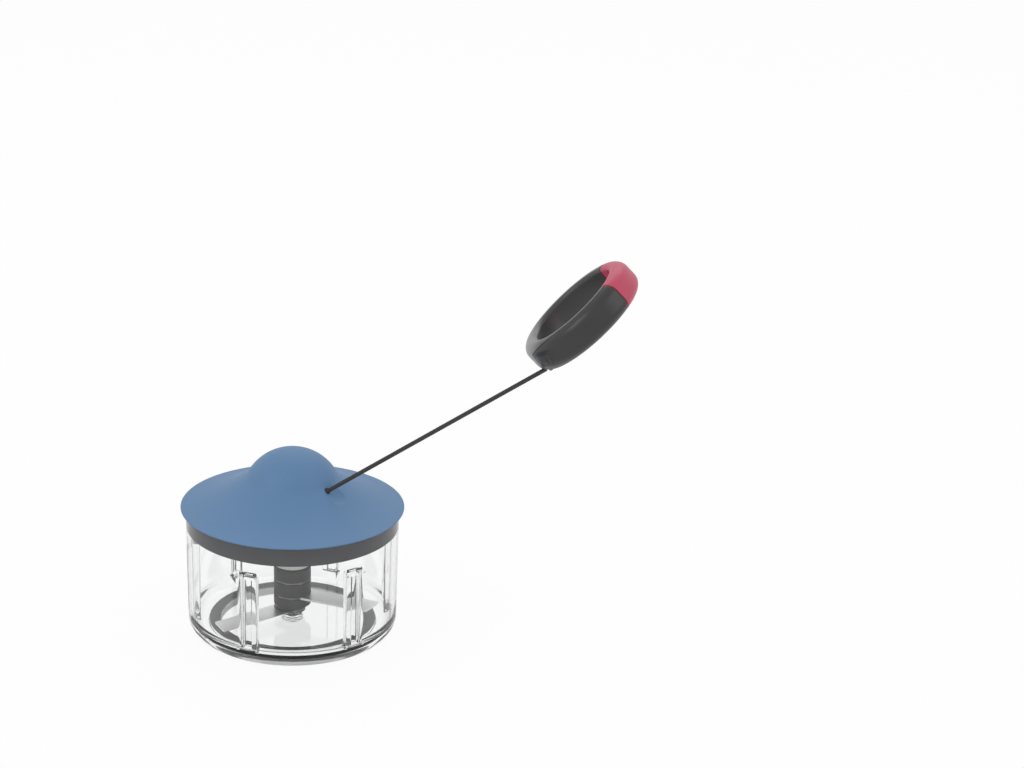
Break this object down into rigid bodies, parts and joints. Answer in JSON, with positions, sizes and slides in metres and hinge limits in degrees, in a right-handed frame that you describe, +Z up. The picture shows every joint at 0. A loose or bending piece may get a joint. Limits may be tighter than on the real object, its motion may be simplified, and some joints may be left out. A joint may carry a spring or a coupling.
{
  "type": "pull-cord food chopper",
  "caption": "Hand chopper: clear ribbed bowl, three-blade cutter, domed lid with a cord reel, and a ring handle on the drawn cord.",
  "frame": {"origin": "on the cutter's axis, in the plane that the foot ring stands on", "axes": "+Z up along the cutter's axis, +X from the bowl towards the drawn handle"},
  "size_m": [0.2449, 0.125, 0.2204],
  "materials": {
    "clear_bowl": "clear",
    "soft_grey": "satin",
    "steel": "satin",
    "hub_grey": "fine texture",
    "lid_blue": "satin",
    "collar_grey": "satin",
    "inner_white": "satin",
    "cord": "braided",
    "handle_light": "gloss",
    "handle_dark": "gloss",
    "handle_pink": "gloss"
  },
  "bodies": {
    "bowl": {"bowl": "clear_bowl", "foot_ring": "soft_grey", "spindle_pin": "steel"},
    "cutter_foot": {"thrust_washer": "inner_white"},
    "cutter": {"hub_core": "hub_grey", "blade_lower": "steel", "hub_waist": "hub_grey", "hub_ring_lower": "hub_grey", "blade_middle": "steel", "hub_ring_upper": "hub_grey", "blade_upper": "steel", "hub_socket": "hub_grey"},
    "lid": {"lid_cover": "lid_blue", "lid_base": "collar_grey", "lid_seal": "soft_grey", "lid_screws": "steel", "cord_eyelet": "hub_grey", "spring_arbor": "inner_white", "axle_post": "steel", "recoil_spring": "steel", "cord_lead": "cord", "cord": "cord"},
    "reel": {"drive_shaft": "hub_grey", "reel": "inner_white", "spring_cover": "inner_white", "cord_winding": "cord"},
    "cord_end": {"cord_knot": "cord"},
    "cord_tail": {"cord_tail": "cord"},
    "handle": {"handle_core": "handle_light", "grip_front": "handle_dark", "grip_back": "handle_dark", "handle_accent": "handle_pink"}
  },
  "joints": [
    {"name": "lid_lift", "type": "slide", "parent": "bowl", "child": "lid", "axis": [0, 0, 1], "range_m": [0, 0.11]},
    {"name": "handle_pull", "type": "slide", "parent": "lid", "child": "cord_end", "axis": [0.842, -0.0811, 0.5334], "range_m": [-0.13553, 0], "deforming": ["cord"]},
    {"name": "reel_spin", "type": "hinge", "parent": "lid", "child": "reel", "pos_m": [0, 0, 0.077], "axis": [0, 0, 1], "range_deg": [-520, 1]},
    {"name": "blade_spin", "type": "hinge", "parent": "bowl", "child": "cutter_foot", "pos_m": [0, 0, 0.0111], "axis": [0, 0, 1], "range_deg": [-520, 1]},
    {"name": "blade_lift", "type": "slide", "parent": "cutter_foot", "child": "cutter", "axis": [0, 0, 1], "range_m": [0, 0.05]},
    {"name": "handle_swing", "type": "hinge", "parent": "cord_end", "child": "cord_tail", "pos_m": [0.13715, -0.03147, 0.16645], "axis": [0, 0, 1], "range_deg": [-181, 1]},
    {"name": "handle_turn", "type": "hinge", "parent": "cord_tail", "child": "handle", "pos_m": [0.13715, -0.03147, 0.16645], "axis": [-0.377, -0.5341, 0.7567], "range_deg": [-72, 1]}
  ],
  "couplings": [
    {"joint": "reel_spin", "follows": "handle_pull", "rad_per_m": 66.667},
    {"joint": "blade_spin", "follows": "handle_pull", "rad_per_m": 66.667},
    {"joint": "handle_swing", "follows": "handle_pull", "rad_per_m": 23.18},
    {"joint": "handle_turn", "follows": "handle_pull", "rad_per_m": 9.1609},
    {"joint": "blade_lift", "follows": "lid_lift", "ratio": 0.45}
  ]
}
